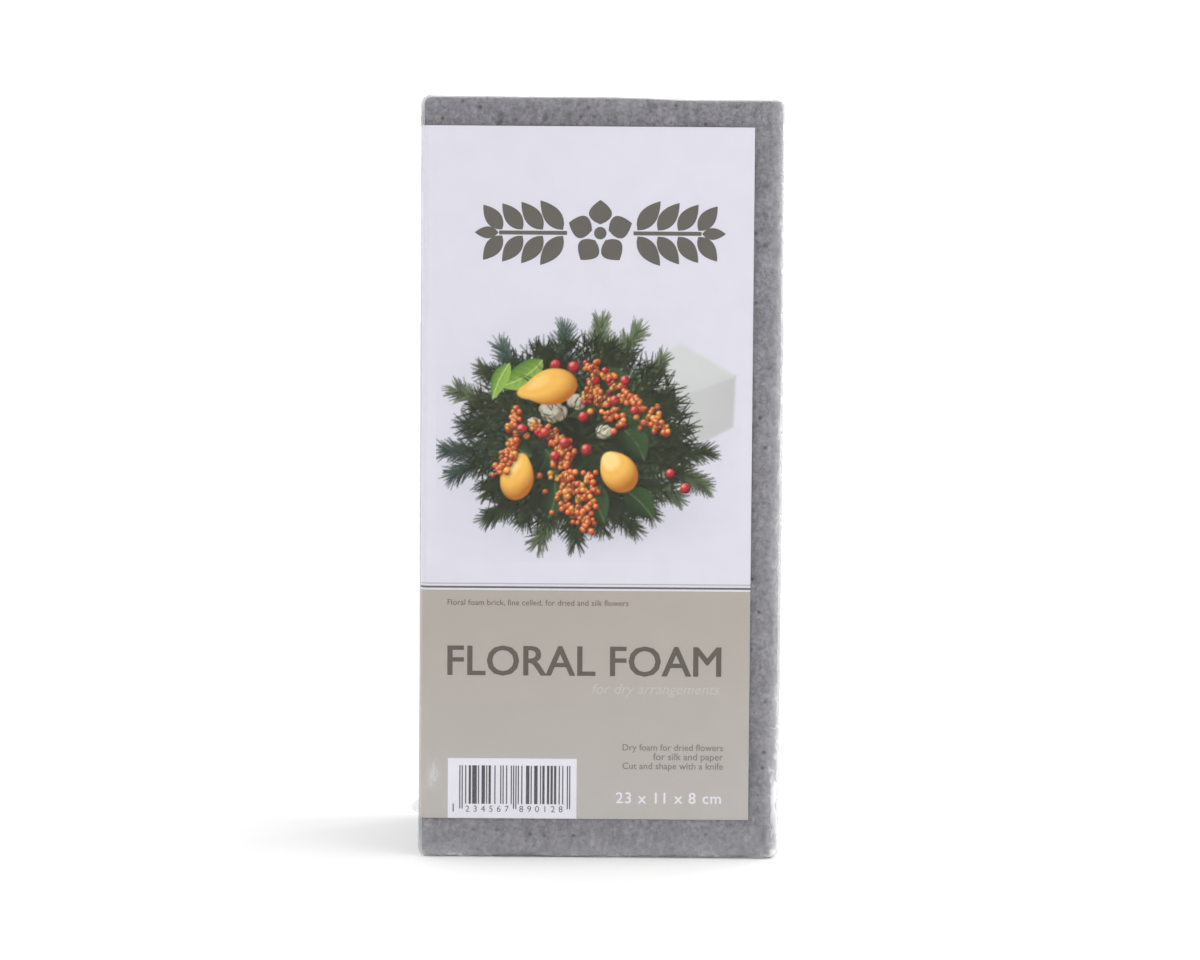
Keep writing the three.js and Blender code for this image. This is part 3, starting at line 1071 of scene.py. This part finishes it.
def film_folds(points, outward, slack_and_painted_light):
    """How far the film stands out from its smooth form at each point."""
    x, y, z = points.T
    low, high = FILM_WALL_LOW, FILM_WALL_HIGH
    out = 0.05 * blobs(points, 19, 11) + 0.02 * blobs(points, 6, 12)
    for corner in itertools.product((low[0], high[0]), (low[1], high[1]), (low[2], high[2])):
        away = points - np.array(corner)
        far = np.linalg.norm(away, axis=1)
        rays = 1 - 2 * np.abs(blobs(away / (far + 1)[:, None], 0.11, 13))
        out += 0.2 * rays * fade(far, 20)
    on_end = np.abs(outward[:, 2]) ** 8
    out += 0.16 * bell(y, SEAM_Y, 0.55) * on_end * (1 + 0.5 * blobs(points, 4, 14))
    for from_side in (x - low[0], high[0] - x):
        out += 0.1 * end_fold(y, from_side, 0.9) * on_end
    out += 0.3 * slack_and_painted_light * (1 - 2 * np.abs(blobs(points * (1, 1, 0.4), 2.3, 15)))
    loose = 0.22 * bell(z, 165, 62) + 0.4 * bell(z, 80, 75)
    out += loose * bell(x, high[0], 2.2) * np.abs(outward[:, 0])
    return np.clip(out, -0.12, 0.6)


def punch_vents(points, faces):
    """Leaves out the faces inside each vent and draws the vent's rim to a true circle."""
    vents = [((FILM_WALL_HIGH[0], SEAM_Y, height), 0) for height in VENT_HEIGHTS]
    vents += [((across, FILM_WALL_HIGH[1], height), 1) for across in BACK_VENTS for height in VENT_HEIGHTS]
    corners = np.array(faces)
    middles = points[corners].mean(axis=1)
    kept = np.ones(len(corners), bool)
    for centre, axis in vents:
        flat = [i for i in range(3) if i != axis]
        near = np.abs(middles[:, axis] - centre[axis]) < 1.2
        inside = near & (np.hypot(*(middles[:, i] - centre[i] for i in flat)) < VENT_RADIUS)
        kept &= ~inside
        rim = np.intersect1d(corners[inside], corners[near & ~inside])
        away = points[rim][:, flat] - [centre[i] for i in flat]
        away *= VENT_RADIUS / np.linalg.norm(away, axis=1, keepdims=True)
        for column, i in enumerate(flat):
            points[rim, i] = centre[i] + away[:, column]
    return corners[kept].tolist(), vents


def vent_lips(vents, points):
    """A thin melted lip round each vent."""
    around, section = 28, 6
    turn, roll = np.meshgrid(*(2 * math.pi * np.arange(n) / n for n in (around, section)), indexing="ij")
    index = np.pad(np.arange(around * section).reshape(around, section), ((0, 1), (0, 1)), mode="wrap").T
    vertices = []
    faces = []
    for centre, axis in vents:
        flat = [i for i in range(3) if i != axis]
        close = np.argsort(np.linalg.norm(points - np.array(centre), axis=1))[:12]
        reach = VENT_RADIUS + 0.13 * np.cos(roll)
        place = np.empty((around, section, 3))
        place[..., axis] = points[close, axis].mean() + 0.11 * np.sin(roll)
        place[..., flat[0]] = centre[flat[0]] + reach * np.cos(turn)
        place[..., flat[1]] = centre[flat[1]] + reach * np.sin(turn)
        faces += quads(len(vertices) + index)
        vertices += place.reshape(-1, 3).tolist()
    return vertices, faces


def seam_fin():
    """The side weld: a thin ragged fin down the left side, flaring into an ear near each end."""
    heights = np.linspace(*SEAM_ENDS, 440)
    line = np.stack([heights, 0 * heights, 0 * heights], axis=1)
    ragged = blobs(line, 1.3, 31)
    slow = blobs(line, 6.0, 32)
    proud = SEAM_PROUD * (0.75 + 0.2 * ragged + 0.2 * slow)
    for height in EAR_HEIGHTS:
        flare = np.cos(np.clip((heights - height) / 3.4, -1, 1) * math.pi / 2) ** 1.4
        proud += (EAR_PROUD - SEAM_PROUD) * flare * (1 + 0.1 * ragged + 0.1 * slow)
    lean = 0.16 * slow + 0.1 * ragged
    part = np.linspace(0, 1, 6)
    x = FILM_WALL_LOW[0] + 0.1 - part * (proud[:, None] + 0.1)
    sheets = []
    for side in (-1, 1):
        y = SEAM_Y + side * (0.11 - 0.07 * part) + lean[:, None] * part**2
        sheets.append(np.stack(np.broadcast_arrays(x, y, heights[:, None]), axis=-1))
    vertices = np.concatenate([sheet.reshape(-1, 3) for sheet in sheets]).tolist()
    near = np.arange(x.size).reshape(x.shape)
    far = near + x.size
    faces = quads(np.concatenate([near, far[:, ::-1], near[:, :1]], axis=1).T)
    faces += quads(np.stack([near[0], far[0]])) + quads(np.stack([far[-1], near[-1]]))
    return vertices, faces


def make_film():
    """One wrinkled skin with its vents, their lips and the side weld."""
    low, high = FILM_WALL_LOW, FILM_WALL_HIGH
    near = [
        [(low[0], 7), (high[0], 6), (BACK_VENTS[0], 2.2), (BACK_VENTS[1], 2.2)],
        [(low[1], 6), (high[1], 6), (SEAM_Y, 2.2)],
        [(low[2], 14), (high[2], 8), (VENT_HEIGHTS[0], 2.2), (VENT_HEIGHTS[1], 2.2)],
    ]
    stops = [graded_stops(low[a], high[a], 0.55, 1.7, near[a]) for a in range(3)]
    flat, faces = block_skin(stops)
    points, outward = round_off(flat, low, high, FILM_RADIUS)
    # the film's looseness, with painted brightening and painted glints mixed in
    slack_and_painted_light = film_slack_and_painted_light(points)
    points += outward * film_folds(points, outward, slack_and_painted_light)[:, None]
    sawn_top(points)
    points[:, 2] = np.maximum(points[:, 2], 0.03)
    faces, vents = punch_vents(points, faces)
    vertices = points.tolist()
    slack_and_painted_light = slack_and_painted_light.tolist()
    for (extra, extra_faces), extra_slack in ((vent_lips(vents, points), LIP_SLACK), (seam_fin(), FIN_SLACK)):
        faces += [[len(vertices) + i for i in face] for face in extra_faces]
        vertices += extra
        slack_and_painted_light += [extra_slack] * len(extra)
    film = mesh_piece("film_wrap", vertices, faces, film_look)
    layer = film.data.attributes.new(SLACK_AND_LIGHT, "FLOAT", "POINT")
    layer.data.foreach_set("value", slack_and_painted_light)
    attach(film, "root")
    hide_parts("shrink_film")


make_film()
